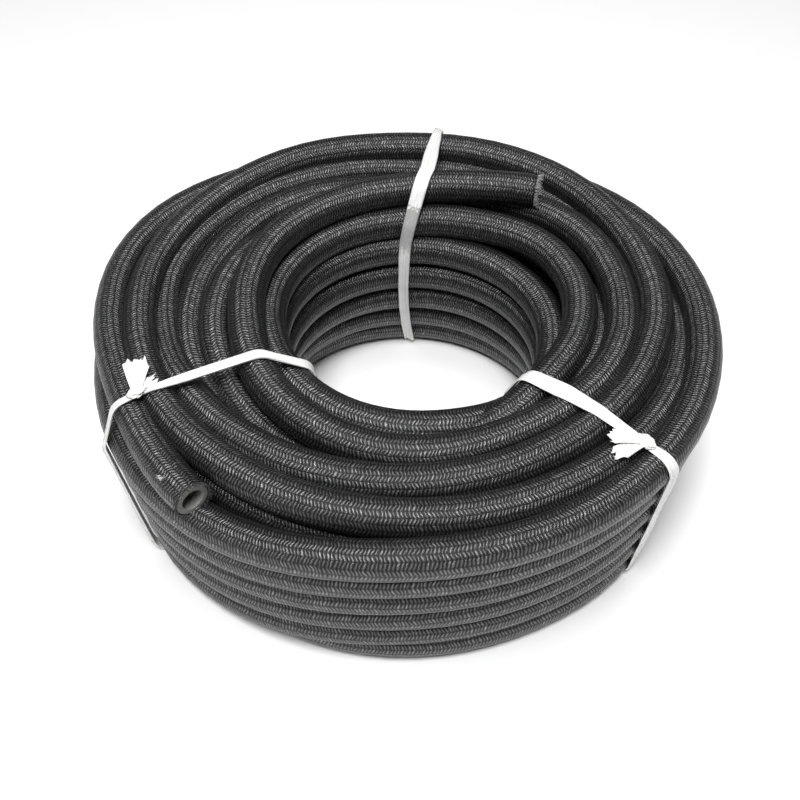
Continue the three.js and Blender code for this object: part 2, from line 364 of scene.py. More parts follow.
@dataclass
class HoseLine:
    """The hose's centre line with a frame at each point.

    Attributes:
        points: Points in metres, from the inner cut end to the outer one.
    """

    points: np.ndarray

    def __post_init__(self) -> None:
        """Works out the line's directions and the distance along it."""
        ahead = np.gradient(self.points, axis=0)
        self.forward = ahead / np.linalg.norm(ahead, axis=1)[:, None]
        side = np.cross(self.forward, (0.0, 0.0, 1.0))
        self.side = side / np.linalg.norm(side, axis=1)[:, None]
        self.up = np.cross(self.side, self.forward)
        steps = np.linalg.norm(np.diff(self.points, axis=0), axis=1)
        self.distance = np.concatenate([[0.0], np.cumsum(steps)])

    @property
    def length(self) -> float:
        """The hose's length in metres."""
        return float(self.distance[-1])

    def finer(self, start: float, end: float, count: int) -> "HoseLine":
        """A stretch of the line, resampled.

        Args:
            start: Distance from the inner end in metres.
            end: The same for the stretch's end; outside the line it goes straight on.
            count: How many points.

        Returns:
            The stretch as a line of its own.
        """
        at = np.linspace(start, end, count)
        inside = np.clip(at, 0.0, self.length)
        points = np.stack([np.interp(inside, self.distance, self.points[:, k]) for k in range(3)], axis=1)
        beyond = (at - inside)[:, None]
        points += np.where(beyond < 0, beyond * self.forward[0], beyond * self.forward[-1])
        return HoseLine(points)

    def rings(self, radius: np.ndarray, angles: np.ndarray) -> np.ndarray:
        """Circles round the line.

        Args:
            radius: The radius at each point and angle, or at each point.
            angles: Angles round the line in radians, from straight up.

        Returns:
            Points in metres, one row for each point of the line.
        """
        radius = radius if radius.ndim == 2 else radius[:, None]
        turned = angles if angles.ndim == 2 else angles[None, :]
        up = (np.cos(turned) * radius)[:, :, None] * self.up[:, None, :]
        side = (np.sin(turned) * radius)[:, :, None] * self.side[:, None, :]
        return self.points[:, None, :] + up + side


@dataclass
class BraidedHose:
    """The whole length of braid-covered hose, wound into the coil.

    Attributes:
        size: The hose's sizes.
        line: Its centre line.
        sides: How many sides the cover's mesh has.
        end_steps: How many points round off the last of the cover at each end.
        end_insets: How far the cover's last points are drawn in.
        lip: How deep the cover turns in at a cut.
        tube_steps: How many points along a rubber tube.
        tube_sides: How many sides a rubber tube has.
        fray_count: How many loose threads stand out of a cut.
        fray_length: The longest thread's length.
        fray_width: A thread's width.
        fray_root: How deep a thread is rooted in the cover.
    """

    size: HoseSize
    line: HoseLine
    sides: int = 24
    end_steps: int = 8
    end_insets: tuple[float, ...] = (0.55, 0.22, 0.06)
    lip: float = 0.1
    tube_steps: int = 24
    tube_sides: int = 64
    fray_count: int = 260
    fray_length: float = 2.0
    fray_width: float = 0.24
    fray_root: float = 0.6

    def build_cover(self) -> bpy.types.Object:
        """Makes the braid cover as one long tube, turned in at both cut ends.

        Returns:
            The cover.
        """
        start = self.line.finer(0.0, self.line.distance[2], self.end_steps)
        end = self.line.finer(self.line.distance[-3], self.line.length, self.end_steps)
        points = np.concatenate([start.points[:-1], self.line.points[2:-2], end.points[1:]])
        line = HoseLine(points)
        radii = np.full(len(points), self.size.outside / 2 * MM)
        for i, inset in enumerate(self.end_insets):
            radii[i] -= inset * MM
            radii[-1 - i] -= inset * MM
        angles = np.arange(self.sides) / self.sides * 2 * math.pi
        twist = 0.5 * np.sin(line.distance / 0.23) + 0.3 * np.sin(line.distance / 0.087)
        grid = line.rings(radii, angles[None, :] + twist[:, None])
        seat = np.full(2, (self.size.tube / 2 + 0.02) * MM)
        first = HoseLine(points[:2]).rings(seat, angles + twist[0])[:1]
        last = HoseLine(points[-2:]).rings(seat, angles + twist[-1])[1:]
        deep = self.lip * MM
        grid = np.concatenate([first + line.forward[0] * deep, grid, last - line.forward[-1] * deep])
        turned = 0.7 * MM
        along = np.concatenate([[line.distance[0] - turned], line.distance, [line.length + turned]])
        return MeshSheet(grid, along, np.arange(self.sides) / self.sides).make("hose_cover")

    def build_tube(
        self,
        name: str,
        outer_end: bool,
        depth: float = 20.0,
        proud: float = 0.3,
    ) -> bpy.types.Object:
        """Makes the rubber tube that shows in a cut end, with rounded rims.

        Args:
            name: The piece's name.
            outer_end: Whether it is at the coil's outer cut end.
            depth: How deep it goes.
            proud: How far it stands out of the braid.

        Returns:
            The tube.
        """
        whole = self.line.length
        if outer_end:
            stretch = self.line.finer(whole - depth * MM, whole + proud * MM, self.tube_steps)
        else:
            stretch = self.line.finer(depth * MM, -proud * MM, self.tube_steps)
        front = HoseLine(stretch.points[-2:])
        outside, bore = self.size.tube / 2 * MM, self.size.bore / 2 * MM
        angles = np.arange(self.tube_sides) / self.tube_sides * 2 * math.pi
        # The cut face from its outer rim to the bore, as how far back and at what radius.
        face = (
            (0.5, outside), (0.22, outside - 0.04 * MM), (0.05, outside - 0.18 * MM),
            (0.0, outside - 0.35 * MM), (0.02, (outside + bore) / 2), (0.0, bore + 0.3 * MM),
            (0.06, bore + 0.12 * MM), (0.25, bore + 0.02 * MM), (0.6, bore),
        )
        rings = [stretch.rings(np.full(self.tube_steps, outside), angles)[:-1]]
        for back, radius in face:
            ring = front.rings(np.full(2, radius), angles)[1:]
            rings.append(ring - front.forward[-1] * back * MM)
        rings.append(stretch.rings(np.full(self.tube_steps, bore), angles)[:-1][::-1])
        grid = np.concatenate(rings)
        grid = np.concatenate([grid, grid[:1]])
        steps = np.linalg.norm(np.diff(grid[:, 0], axis=0), axis=1)
        reach = np.concatenate([[0.0], np.cumsum(steps)])
        obj = MeshSheet(grid, reach, np.arange(self.tube_sides) / self.tube_sides).make(name)
        face_outwards(obj)
        return obj

    def build_fray(self, name: str, outer_end: bool, seed: int) -> bpy.types.Object:
        """Makes the loose threads that stand out of the cut braid.

        Args:
            name: The piece's name.
            outer_end: Whether they are at the coil's outer cut end.
            seed: Where the chance starts from.

        Returns:
            The threads, as one mesh.
        """
        chance = np.random.default_rng(seed)
        last = -1 if outer_end else 0
        way = self.line.forward[last] if outer_end else -self.line.forward[0]
        centre, up, side = self.line.points[last], self.line.up[last], self.line.side[last]
        threads = ThreadBundle()
        for _ in range(self.fray_count):
            angle = chance.uniform(0, 2 * math.pi)
            out = up * math.cos(angle) + side * math.sin(angle)
            round_it = np.cross(way, out)
            radius = chance.uniform(self.size.tube / 2 + 0.15, self.size.outside / 2 - 0.15) * MM
            length = self.fray_length * chance.uniform(0.25, 1.0) ** 1.5 * MM
            lean, sweep = chance.normal(0.15, 0.3), chance.normal(0.0, 0.6)
            share = np.linspace(0, 1, 5)[:, None]
            start = centre + out * radius - way * self.fray_root * MM
            path = start + way * (share * (length + self.fray_root * MM))
            path = path + out * lean * length * share**2 + round_it * sweep * length * share**2
            threads.add(path, self.fray_width * chance.uniform(0.6, 1.2) / 2 * MM)
        return threads.make(name)


class ThreadBundle:
    """Thin threads, gathered into one mesh."""

    def __init__(self) -> None:
        """Starts with no threads."""
        self.vertices: list[np.ndarray] = []
        self.faces: list[tuple[int, ...]] = []

    def add(self, path: np.ndarray, radius: float, sides: int = 4) -> None:
        """Adds a thread that thins out to its tip.

        Args:
            path: Its points in metres.
            radius: Its radius at the root in metres.
            sides: How many sides it has.
        """
        line = HoseLine(path + np.array([0, 0, 1e-9]))
        taper = radius * np.linspace(1.0, 0.45, len(path))
        rings = line.rings(taper, np.arange(sides) / sides * 2 * math.pi).reshape(-1, 3)
        base = sum(len(block) for block in self.vertices)
        self.vertices.append(rings)
        for i in range(len(path) - 1):
            for j in range(sides):
                k = (j + 1) % sides
                here, there = base + i * sides, base + (i + 1) * sides
                self.faces.append((here + j, here + k, there + k, there + j))
        self.faces.append(tuple(base + j for j in reversed(range(sides))))
        self.faces.append(tuple(base + (len(path) - 1) * sides + j for j in range(sides)))

    def make(self, name: str) -> bpy.types.Object:
        """Makes the mesh object.

        Args:
            name: The piece's name.

        Returns:
            The new object.
        """
        mesh = bpy.data.meshes.new(name)
        mesh.from_pydata(np.concatenate(self.vertices).tolist(), [], self.faces)
        mesh.shade_smooth()
        obj = bpy.data.objects.new(name, mesh)
        bpy.context.scene.collection.objects.link(obj)
        return obj


def face_outwards(obj: bpy.types.Object) -> None:
    """Turns a closed mesh's faces outwards.

    Args:
        obj: The object.
    """
    work = bmesh.new()
    work.from_mesh(obj.data)
    bmesh.ops.recalc_face_normals(work, faces=work.faces)
    work.to_mesh(obj.data)
    work.free()


def tight_outline(points: np.ndarray) -> np.ndarray:
    """The tight outline round points in a plane.

    Args:
        points: Two numbers a point.

    Returns:
        The outline's corners, anticlockwise.
    """
    ordered = sorted(map(tuple, points))

    def chain(run: list[tuple[float, float]]) -> list[tuple[float, float]]:
        """Keeps the corners on one side."""
        kept: list[tuple[float, float]] = []
        for x, y in run:
            while len(kept) > 1:
                (ax, ay), (bx, by) = kept[-2], kept[-1]
                if (bx - ax) * (y - ay) - (by - ay) * (x - ax) > 1e-12:
                    break
                kept.pop()
            kept.append((x, y))
        return kept[:-1]

    return np.array(chain(ordered) + chain(ordered[::-1]))


@dataclass(frozen=True)
class Tail:
    """A free end of a tie's knot.

    Attributes:
        heading: The way it goes in plan, in degrees.
        length: How long it is.
        width: How wide its torn end is.
        rise: How steeply it leaves, in degrees.
        droop: How much its end comes down again.
    """

    heading: float
    length: float
    width: float
    rise: float = 25.0
    droop: float = 3.0


@dataclass
class FilmTie:
    """A strip of film round the bundle, with its knot and its torn tails.

    Attributes:
        name: The CAD node it stands for.
        inner: Where its plane crosses the hole's edge, in millimetres in plan.
        outer: Where its plane crosses the coil's outside.
        knot: How far along the top the knot is, from 0 inside to 1 outside.
        widths: The band's width at shares of its way, from the knot over the top to the hole,
            down it, under the coil and up the outer wall.
        tails: The knot's free ends.
        shifts: How far the band strays sideways from its plane, at shares of its way.
        grey_stretch: Where along the band, in metres from the knot, its colour is painted grey.
        thickness: The folded film's thickness.
        gap: The gap left between the hose and the band.
        seed: Where the tie's chance starts from.
        knot_length: The knot's length along the band.
        reach: How far to each side of its plane the band takes the hose into account.
        way: The plane's direction in plan, found with the section.
        span: The length from inner to outer in metres, found with the section.
        around: The length of the band in metres, found with the section.
    """

    name: str
    inner: tuple[float, float]
    outer: tuple[float, float]
    knot: float
    widths: tuple[tuple[float, float], ...]
    tails: tuple[Tail, ...]
    shifts: tuple[tuple[float, float], ...] = ((0.0, 0.0), (1.0, 0.0))
    grey_stretch: tuple[float, float] = (0.0, 0.0)
    thickness: float = 0.3
    gap: float = 0.3
    seed: int = 1
    knot_length: float = 7.0
    reach: float = 2.5
    way: np.ndarray = field(init=False)
    span: float = field(init=False)
    around: float = field(init=False)

    def section(self, line: HoseLine, size: HoseSize) -> np.ndarray:
        """The band's outline in its own upright plane.

        Args:
            line: The hose's line.
            size: The hose's sizes.

        Returns:
            Even steps round the outline, each a distance along the plane and a height, in metres.
        """
        start = np.array(self.inner) * MM
        self.way = np.array(self.outer) * MM - start
        self.span = float(np.linalg.norm(self.way))
        self.way = self.way / self.span
        across = np.array([-self.way[1], self.way[0]])
        along = (line.points[:, :2] - start) @ self.way
        radius = size.outside / 2 * MM
        circles = []
        angles = np.linspace(0, 2 * math.pi, 48, endpoint=False)
        for hole_side in (True, False):
            strays = [stray for share, stray in self.shifts if (share < 0.5) == hole_side]
            for edge in (min(strays) - self.reach, 0.0, max(strays) + self.reach):
                offset = (line.points[:, :2] - start) @ across - edge * MM
                near = np.abs(along[:-1] - self.span / 2) < self.span
                near &= (along[:-1] < self.span / 2) == hole_side
                for i in np.nonzero((offset[:-1] * offset[1:] < 0) & near)[0]:
                    share = offset[i] / (offset[i] - offset[i + 1])
                    point = line.points[i] * (1 - share) + line.points[i + 1] * share
                    slant = abs(float(line.forward[i][:2] @ across)) or 1.0
                    s = float((point[:2] - start) @ self.way)
                    wide = radius / slant + self.gap * MM
                    high = radius + self.gap * MM
                    ring = (s + wide * np.cos(angles), point[2] + high * np.sin(angles))
                    circles.append(np.stack(ring, axis=1))
        outline = tight_outline(np.concatenate(circles))
        outline[:, 1] = np.maximum(outline[:, 1], (self.thickness + 0.12) * MM)
        closed = np.concatenate([outline, outline[:1]])
        reach = np.concatenate([[0.0], np.cumsum(np.linalg.norm(np.diff(closed, axis=0), axis=1))])
        self.around = float(reach[-1])
        at = np.linspace(0, reach[-1], OUTLINE_STEPS + 1)[:-1]
        even = np.stack([np.interp(at, reach, closed[:, k]) for k in range(2)], axis=1)
        target = self.span * self.knot
        on_top = even[:, 1] > even[:, 1].mean()
        nearest = int(np.argmin(np.where(on_top, np.abs(even[:, 0] - target), 9.0)))
        return np.roll(even, -nearest, axis=0)

    def in_space(self, along: np.ndarray, height: np.ndarray) -> np.ndarray:
        """Points of the plane as points in space.

        Args:
            along: Distances along the plane in metres.
            height: Heights in metres.

        Returns:
            The points.
        """
        plan = np.array(self.inner) * MM + along[:, None] * self.way
        return np.column_stack([plan, height])

    def build(self, line: HoseLine, size: HoseSize) -> bpy.types.Object:
        """Makes the band, the knot and the tails as one piece.

        Args:
            line: The hose's line.
            size: The hose's sizes.

        Returns:
            The tie.
        """
        chance = np.random.default_rng(self.seed)
        outline = self.section(line, size)
        centre = self.in_space(outline[:, 0], outline[:, 1])
        ahead = np.roll(centre, -1, axis=0) - np.roll(centre, 1, axis=0)
        ahead = ahead / np.linalg.norm(ahead, axis=1)[:, None]
        across = np.append(np.array([-self.way[1], self.way[0]]), 0.0)
        out = np.cross(across, ahead)
        out = out * np.sign((out * (centre - centre.mean(axis=0))).sum(axis=1))[:, None]
        share = np.arange(len(centre)) / len(centre)
        stops = np.array(self.widths)
        width = np.interp(share, stops[:, 0], stops[:, 1]) * MM
        moves = np.array(self.shifts)
        drift = np.interp(share, moves[:, 0], moves[:, 1]) * MM
        columns = 15
        place = np.linspace(-0.5, 0.5, columns)
        pleat = self.pleats(place, chance)
        rows = []
        for i in range(len(centre)):
            fold = pleat * min(1.0, 0.0042 / width[i]) * 0.5 * MM
            top = self.thickness * MM + fold + 0.18 * MM * np.sin(share[i] * 41 + place * 5)
            top = np.maximum(top, 0.08 * MM)
            edge = np.abs(place) > 0.49
            top = np.where(edge, 0.06 * MM, top)
            middle = centre[i] + across * drift[i]
            outer = middle + across * (place[:, None] * width[i]) + out[i] * top[:, None]
            inner = middle + across * (place[::-1, None] * width[i])
            rows.append(np.concatenate([outer, inner[1:-1]]))
        grid = np.stack(rows)
        grid[:, :, 2] = np.maximum(grid[:, :, 2], 0.05 * MM)
        grid = np.concatenate([grid, grid[:1]])
        count = grid.shape[1]
        reach = np.append(share, 1.0) * self.around
        band = MeshSheet(grid, reach, np.arange(count) / count).make(self.name + "_film")
        face_outwards(band)
        knot_at = centre[0] + out[0] * 1.2 * MM
        pieces = [band, self.build_knot(knot_at, ahead[0], across, out[0], chance)]
        for tail in self.tails:
            pieces.append(self.build_tail(tail, knot_at, chance))
        return joined(pieces)

    def pleats(self, place: np.ndarray, chance: np.random.Generator) -> np.ndarray:
        """The lengthwise pleats across the strip.

        Args:
            place: Places across it, from -0.5 to 0.5.
            chance: The tie's own chance.

        Returns:
            Heights, from about -1 to 1.
        """
        waves = [chance.uniform(0.3, 0.7) * np.sin(place * k + chance.uniform(0, 6)) for k in (9, 17, 29)]
        return np.sum(waves, axis=0)

    def build_knot(
        self,
        centre: np.ndarray,
        along: np.ndarray,
        across: np.ndarray,
        up: np.ndarray,
        chance: np.random.Generator,
    ) -> bpy.types.Object:
        """Makes the knot: film wound tightly on itself, so a lump with deep folds.

        Args:
            centre: Its middle in metres.
            along: The band's direction there.
            across: The direction over the band.
            up: The direction away from the hose.
            chance: The tie's own chance.

        Returns:
            The knot.
        """
        rows, columns = 22, 28
        polar = np.linspace(0.02, math.pi - 0.02, rows)
        round_it = np.arange(columns) / columns * 2 * math.pi
        grid = np.zeros((rows, columns, 3))
        shift = chance.uniform(0, 6, 3)
        for i, p in enumerate(polar):
            deep = 0.16 * np.sin(5 * round_it + 3 * p + shift[0])
            fine = 0.1 * np.sin(9 * round_it - 5 * p + shift[1])
            r = np.sin(p) * (1 + (deep + fine))
            length = -np.cos(p) * self.knot_length / 2 * (1 + 0.1 * np.sin(2 * round_it + shift[2]))
            grid[i] = (
                centre
                + along * length[:, None] * MM
                + across * (r * np.cos(round_it) * 2.3)[:, None] * MM
                + up * (r * np.sin(round_it) * 1.3 + 0.1)[:, None] * MM
            )
        return MeshSheet(grid, polar * 0.004, np.arange(columns) / columns).make(self.name + "_knot")

    def build_tail(self, tail: Tail, start: np.ndarray, chance: np.random.Generator) -> bpy.types.Object:
        """Makes a torn tail that fans out from the knot.

        Args:
            tail: Its sizes.
            start: The knot's middle in metres.
            chance: The tie's own chance.

        Returns:
            The tail.
        """
        heading = math.radians(tail.heading)
        ahead = np.array([math.cos(heading), math.sin(heading), 0.0])
        across = np.array([-math.sin(heading), math.cos(heading), 0.0])
        rows, columns = 16, 21
        place = np.linspace(-0.5, 0.5, columns)
        pleat = self.pleats(place, chance) + 0.5 * np.sin(place * 23 + chance.uniform(0, 6))
        tongues = np.repeat(chance.normal(0, 1, columns // 3 + 1), 3)[:columns]
        torn = 1 + 0.05 * tongues + chance.normal(0, 0.03, columns)
        torn = torn - 0.18 * (np.abs(place) * 2) ** 3
        rise = math.radians(tail.rise)
        outer, inner = [], []
        for share in np.linspace(0, 1, rows):
            reach = share * tail.length * torn * MM
            width = (2.6 + (tail.width - 2.6) * share**0.8) * MM
            height = reach * math.tan(rise) - tail.droop * share**2 * MM + pleat * (0.15 + 0.35 * share) * MM
            curl = 0.8 * share * np.abs(place) ** 2 * 4 * MM
            row = start + ahead * reach[:, None] + across * (place * width)[:, None]
            row[:, 2] += height + curl
            outer.append(row)
            inner.append(row - np.array([0, 0, 0.16 * MM]))
        grid = np.concatenate([np.stack(outer), np.stack(inner)[:, ::-1]], axis=1)
        count = grid.shape[1]
        along = np.linspace(0, tail.length * MM, rows)
        piece = MeshSheet(grid, along, np.arange(count) / count).make(self.name + "_tail")
        close_ends(piece, rows, count)
        return piece


def close_ends(obj: bpy.types.Object, rows: int, columns: int) -> None:
    """Closes the two open ends of a flat tube of points.

    Args:
        obj: The tube.
        rows: How many rows of points it has.
        columns: How many points a row has.
    """
    work = bmesh.new()
    work.from_mesh(obj.data)
    work.verts.ensure_lookup_table()
    for row in (0, rows - 1):
        for j in range(columns // 2 - 1):
            corners = (j, j + 1, columns - 2 - j, columns - 1 - j)
            work.faces.new([work.verts[row * columns + k] for k in corners])
    bmesh.ops.recalc_face_normals(work, faces=work.faces)
    work.to_mesh(obj.data)
    work.free()


def joined(pieces: list[bpy.types.Object]) -> bpy.types.Object:
    """Joins pieces into the first one.

    Args:
        pieces: The objects.

    Returns:
        The first object, with them all in it.
    """
    bpy.ops.object.select_all(action="DESELECT")
    for piece in pieces:
        piece.select_set(True)
    bpy.context.view_layer.objects.active = pieces[0]
    bpy.ops.object.join()
    return pieces[0]


class Sketch:
    """Shorthand for building a node tree: each method adds a node and gives its output."""

    def __init__(self, tree: bpy.types.NodeTree) -> None:
        """Draws in a tree."""
        self.tree = tree

    def node(self, kind: str, **options: object) -> bpy.types.Node:
        """Adds a node and sets its options."""
        made = self.tree.nodes.new(kind)
        for name, value in options.items():
            setattr(made, name, value)
        return made

    def plug(self, socket: bpy.types.NodeSocket, value: Value) -> None:
        """Links a socket to an output, or sets it to a value."""
        if isinstance(value, bpy.types.NodeSocket):
            self.tree.links.new(value, socket)
        else:
            socket.default_value = value

    def math(self, operation: str, a: Value, b: Value = 0.0, clamp: bool = False) -> bpy.types.NodeSocket:
        """Adds a sum."""
        made = self.node("ShaderNodeMath", operation=operation, use_clamp=clamp)
        self.plug(made.inputs[0], a)
        self.plug(made.inputs[1], b)
        return made.outputs[0]

    def noise(self, place: Value, scale: float, detail: float = 2.0) -> bpy.types.NodeSocket:
        """Adds even noise, from 0 to 1."""
        made = self.node("ShaderNodeTexNoise")
        self.plug(made.inputs["Vector"], place)
        made.inputs["Scale"].default_value = scale
        made.inputs["Detail"].default_value = detail
        return made.outputs["Fac"]

    def span(
        self,
        value: Value,
        low: float,
        high: float,
        to_low: float = 0.0,
        to_high: float = 1.0,
    ) -> bpy.types.NodeSocket:
        """Stretches a range of a value to another range."""
        made = self.node("ShaderNodeMapRange")
        self.plug(made.inputs["Value"], value)
        ends = {"From Min": low, "From Max": high, "To Min": to_low, "To Max": to_high}
        for name, number in ends.items():
            made.inputs[name].default_value = number
        return made.outputs["Result"]

    def mix(self, share: Value, a: Value, b: Value) -> bpy.types.NodeSocket:
        """Mixes two colours."""
        made = self.node("ShaderNodeMix", data_type="RGBA")
        self.plug(made.inputs["Factor"], share)
        colours = [s for s in made.inputs if s.type == "RGBA"]
        self.plug(colours[0], a)
        self.plug(colours[1], b)
        return [s for s in made.outputs if s.type == "RGBA"][0]

    def stretched(self, place: Value, scale: tuple[float, float, float]) -> bpy.types.NodeSocket:
        """Scales a place along each axis."""
        made = self.node("ShaderNodeMapping")
        self.plug(made.inputs["Vector"], place)
        made.inputs["Scale"].default_value = scale
        return made.outputs["Vector"]

    def bump(self, height: Value, distance: float) -> bpy.types.NodeSocket:
        """Turns a height into a normal."""
        made = self.node("ShaderNodeBump")
        self.plug(made.inputs["Height"], height)
        made.inputs["Distance"].default_value = distance
        made.inputs["Strength"].default_value = 1.0
        return made.outputs["Normal"]


@dataclass(frozen=True)
class Port:
    """One socket of a shared effect."""

    name: str
    kind: str
    default: object = None


FLOAT, COLOUR, VECTOR = "NodeSocketFloat", "NodeSocketColor", "NodeSocketVector"


class Effect:
    """A shader effect that several materials use, kept as a node group."""

    name = "effect"
    takes: tuple[Port, ...] = ()
    gives: tuple[Port, ...] = ()

    def group(self) -> bpy.types.NodeTree:
        """Makes the group, or finds it."""
        found = bpy.data.node_groups.get(self.name)
        if found:
            return found
        tree = bpy.data.node_groups.new(self.name, "ShaderNodeTree")
        for ports, way in ((self.takes, "INPUT"), (self.gives, "OUTPUT")):
            for port in ports:
                socket = tree.interface.new_socket(port.name, in_out=way, socket_type=port.kind)
                if port.default is not None:
                    socket.default_value = port.default
        sketch = Sketch(tree)
        entry = sketch.node("NodeGroupInput")
        leave = sketch.node("NodeGroupOutput")
        self.draw(sketch, entry.outputs, leave.inputs)
        return tree

    def draw(self, sketch: Sketch, entry: bpy.types.NodeInputs, leave: bpy.types.NodeOutputs) -> None:
        """Draws what the group does.

        Args:
            sketch: The group's sketch.
            entry: What goes in.
            leave: What comes out.
        """
        raise NotImplementedError

    def use(self, sketch: Sketch, **values: Value) -> dict[str, bpy.types.NodeSocket]:
        """Puts the group in a tree.

        Args:
            sketch: The tree's sketch.
            values: What goes in, by socket name.

        Returns:
            What comes out, by socket name.
        """
        made = sketch.node("ShaderNodeGroup", node_tree=self.group())
        for name, value in values.items():
            sketch.plug(made.inputs[name], value)
        return {socket.name: socket for socket in made.outputs}


class Braid(Effect):
    """Textile braid: columns along the hose, each with strokes that slant one way, then the other, with a
    mask for painted shade in the valleys between them and a glint mask for their crests.
    """

    name = "braid"
    takes = (
        Port("Sheet", VECTOR),
        Port("Columns", FLOAT, 18.0),
        Port("Pitch", FLOAT, 0.0012),
        Port("Slant", FLOAT, 0.7),
    )
    gives = (Port("Height", FLOAT), Port("Painted Shade", FLOAT), Port("Glint", FLOAT))

    def draw(self, sketch: Sketch, entry: bpy.types.NodeInputs, leave: bpy.types.NodeOutputs) -> None:
        """Draws the columns and strokes."""
        split = sketch.node("ShaderNodeSeparateXYZ")
        sketch.plug(split.inputs[0], entry["Sheet"])
        along, turn = split.outputs[0], split.outputs[1]
        wander = sketch.noise(sketch.stretched(entry["Sheet"], (60, 4, 1)), 1.0)
        turn = sketch.math("ADD", turn, sketch.span(wander, 0, 1, -0.012, 0.012))
        column = sketch.math("MULTIPLY", turn, entry["Columns"])
        across = sketch.math("SUBTRACT", sketch.math("FRACT", column), 0.5)
        odd = sketch.math("MODULO", sketch.math("FLOOR", sketch.math("ADD", column, 36.0)), 2.0)
        way = sketch.math("SUBTRACT", 1.0, sketch.math("MULTIPLY", odd, 2.0))
        lean = sketch.math("MULTIPLY", sketch.math("MULTIPLY", across, way), entry["Slant"])
        uneven = sketch.noise(sketch.stretched(entry["Sheet"], (350, 14, 1)), 1.0)
        beat = sketch.math("ADD", sketch.math("DIVIDE", along, entry["Pitch"]), lean)
        beat = sketch.math("ADD", beat, sketch.span(uneven, 0, 1, -0.6, 0.6))
        wave = sketch.math("SINE", sketch.math("MULTIPLY", beat, 2 * math.pi))
        stroke = sketch.span(wave, -1.0, 1.0)
        square = sketch.math("MULTIPLY", across, across)
        dome = sketch.math("SUBTRACT", 1.0, sketch.math("MULTIPLY", square, 4.0))
        body = sketch.math("ADD", 0.42, sketch.math("MULTIPLY", sketch.math("POWER", dome, 0.6), 0.58))
        height = sketch.math("MULTIPLY", body, sketch.math("ADD", 0.3, sketch.math("MULTIPLY", stroke, 0.7)))
        sketch.plug(leave["Height"], height)
        # Painted shade: the low parts of the braid, between columns and strokes, get a darker colour from
        # this mask.
        sketch.plug(leave["Painted Shade"], sketch.span(height, 0.25, 0.85))
        own = sketch.node("ShaderNodeCombineXYZ")
        sketch.plug(own.inputs[0], sketch.math("FLOOR", sketch.math("ADD", beat, 0.25)))
        sketch.plug(own.inputs[1], sketch.math("FLOOR", column))
        chance = sketch.node("ShaderNodeTexWhiteNoise", noise_dimensions="3D")
        sketch.plug(chance.inputs["Vector"], own.outputs[0])
        # Glint mask: the crests of the strokes, each with a random strength; it raises the specular level and
        # also paints a highlight into the base colour.
        crest = sketch.math("POWER", sketch.math("MULTIPLY", height, 1.0, clamp=True), 3.0)
        share = sketch.span(sketch.math("POWER", chance.outputs["Value"], 3.0), 0, 1, 0.45, 1.0)
        sketch.plug(leave["Glint"], sketch.math("MULTIPLY", crest, share))


class ToneVariation(Effect):
    """Slow changes of tone over a surface, that no made thing is free of."""

    name = "tone_variation"
    takes = (
        Port("Colour", COLOUR),
        Port("Place", VECTOR),
        Port("Scale", FLOAT, 30.0),
        Port("Amount", FLOAT, 0.2),
    )
    gives = (Port("Colour", COLOUR),)

    def draw(self, sketch: Sketch, entry: bpy.types.NodeInputs, leave: bpy.types.NodeOutputs) -> None:
        """Draws the change of tone."""
        made = sketch.node("ShaderNodeTexNoise")
        sketch.plug(made.inputs["Vector"], entry["Place"])
        sketch.plug(made.inputs["Scale"], entry["Scale"])
        made.inputs["Detail"].default_value = 3.0
        swing = sketch.span(made.outputs["Fac"], 0.25, 0.75, -1.0, 1.0)
        swing = sketch.math("MULTIPLY", swing, entry["Amount"])
        value = sketch.node("ShaderNodeHueSaturation")
        sketch.plug(value.inputs["Color"], entry["Colour"])
        sketch.plug(value.inputs["Value"], sketch.math("ADD", 1.0, swing))
        sketch.plug(leave["Colour"], value.outputs[0])


class DustSpecks(Effect):
    """A few pale specks of lint and dust."""

    name = "dust_specks"
    takes = (Port("Place", VECTOR), Port("Scale", FLOAT, 900.0), Port("Amount", FLOAT, 0.03))
    gives = (Port("Mask", FLOAT),)

    def draw(self, sketch: Sketch, entry: bpy.types.NodeInputs, leave: bpy.types.NodeOutputs) -> None:
        """Draws the specks: small parts of scattered cells, and only in some patches."""
        cells = sketch.node("ShaderNodeTexVoronoi")
        sketch.plug(cells.inputs["Vector"], entry["Place"])
        sketch.plug(cells.inputs["Scale"], entry["Scale"])
        chosen = sketch.math("LESS_THAN", cells.outputs["Color"], entry["Amount"])
        near = sketch.math("LESS_THAN", cells.outputs["Distance"], 0.3)
        sketch.plug(leave["Mask"], sketch.math("MULTIPLY", chosen, near))


BRAID, TONE, DUST = Braid(), ToneVariation(), DustSpecks()


@dataclass(frozen=True)
class Finish:
    """A material's plain numbers.

    Attributes:
        name: The material's name.
        colour: Its base colour, linear.
        roughness: How rough it is.
    """

    name: str
    colour: tuple[float, float, float]
    roughness: float

    def start(self) -> tuple[bpy.types.Material, Sketch, bpy.types.Node]:
        """Makes the material with its one shader."""
        material = bpy.data.materials.new(self.name)
        material.use_nodes = True
        material.diffuse_color = (*self.colour, 1.0)
        shader = next(node for node in material.node_tree.nodes if node.type == "BSDF_PRINCIPLED")
        shader.inputs["Base Color"].default_value = (*self.colour, 1.0)
        shader.inputs["Roughness"].default_value = self.roughness
        return material, Sketch(material.node_tree), shader

    def build(self) -> bpy.types.Material:
        """Makes the whole material."""
        return self.start()[0]


